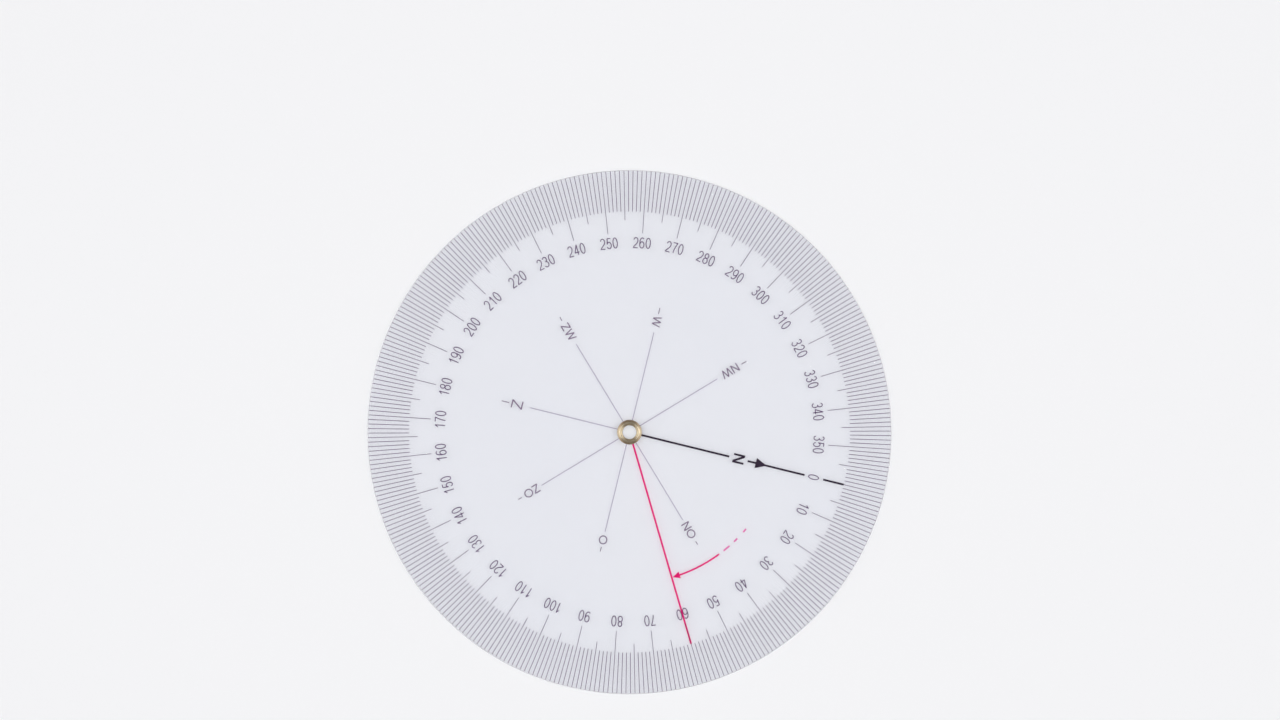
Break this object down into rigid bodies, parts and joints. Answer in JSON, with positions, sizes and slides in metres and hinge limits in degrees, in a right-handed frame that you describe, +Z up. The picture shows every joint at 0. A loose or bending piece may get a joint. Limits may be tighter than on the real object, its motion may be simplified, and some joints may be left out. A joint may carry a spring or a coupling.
{
  "type": "navigation plotter",
  "caption": "Round clear-plastic course protractor: a disc with a degree scale and compass lines, under a disc with a red course line that turns on a hollow brass eyelet.",
  "frame": {"origin": "on the axis of the eyelet, at the underside of its foot, which is the middle of the bottom of the bounding box", "axes": "+Z up through the two discs, +Y towards the 0 mark of the degree scale (north), +X towards its 90 mark; bearings run clockwise seen from +Z"},
  "size_m": [0.126, 0.126, 0.0021],
  "materials": {
    "clear_plastic": "clear, glossy, with a faint cool tint",
    "pale_brass": "bright, lightly brushed by the rolling",
    "black_ink": "screen-printed ink, near black",
    "grey_ink": "screen-printed ink, dark grey",
    "red_ink": "screen-printed ink, crimson",
    "pale_red_ink": "screened crimson ink, pale"
  },
  "bodies": {
    "scale": {"scale_disc": "clear_plastic", "scale_disc_centre": "clear_plastic", "eyelet": "pale_brass", "degree_scale": "grey_ink", "north_line": "black_ink", "north_n": "black_ink", "north_arrow": "black_ink", "zero_dash": "black_ink", "northeast_ray": "grey_ink", "northeast_dash": "grey_ink", "northeast_n": "grey_ink", "northeast_o": "grey_ink", "east_ray": "grey_ink", "east_dash": "grey_ink", "east_o": "grey_ink", "southeast_ray": "grey_ink", "southeast_dash": "grey_ink", "southeast_z": "grey_ink", "southeast_o": "grey_ink", "south_ray": "grey_ink", "south_dash": "grey_ink", "south_z": "grey_ink", "southwest_ray": "grey_ink", "southwest_dash": "grey_ink", "southwest_z": "grey_ink", "southwest_w": "grey_ink", "west_ray": "grey_ink", "west_dash": "grey_ink", "west_w": "grey_ink", "northwest_ray": "grey_ink", "northwest_dash": "grey_ink", "northwest_n": "grey_ink", "northwest_w": "grey_ink"},
    "course": {"course_disc": "clear_plastic", "course_disc_centre": "clear_plastic", "course_line": "red_ink", "turn_arrow": "red_ink", "turn_dash_1": "pale_red_ink", "turn_dash_2": "pale_red_ink", "turn_dash_3": "pale_red_ink"}
  },
  "joints": [
    {"name": "course_turn", "type": "hinge", "parent": "scale", "child": "course", "pos_m": [0, 0, 0.00122], "axis": [0, 0, -1], "continuous": true}
  ]
}
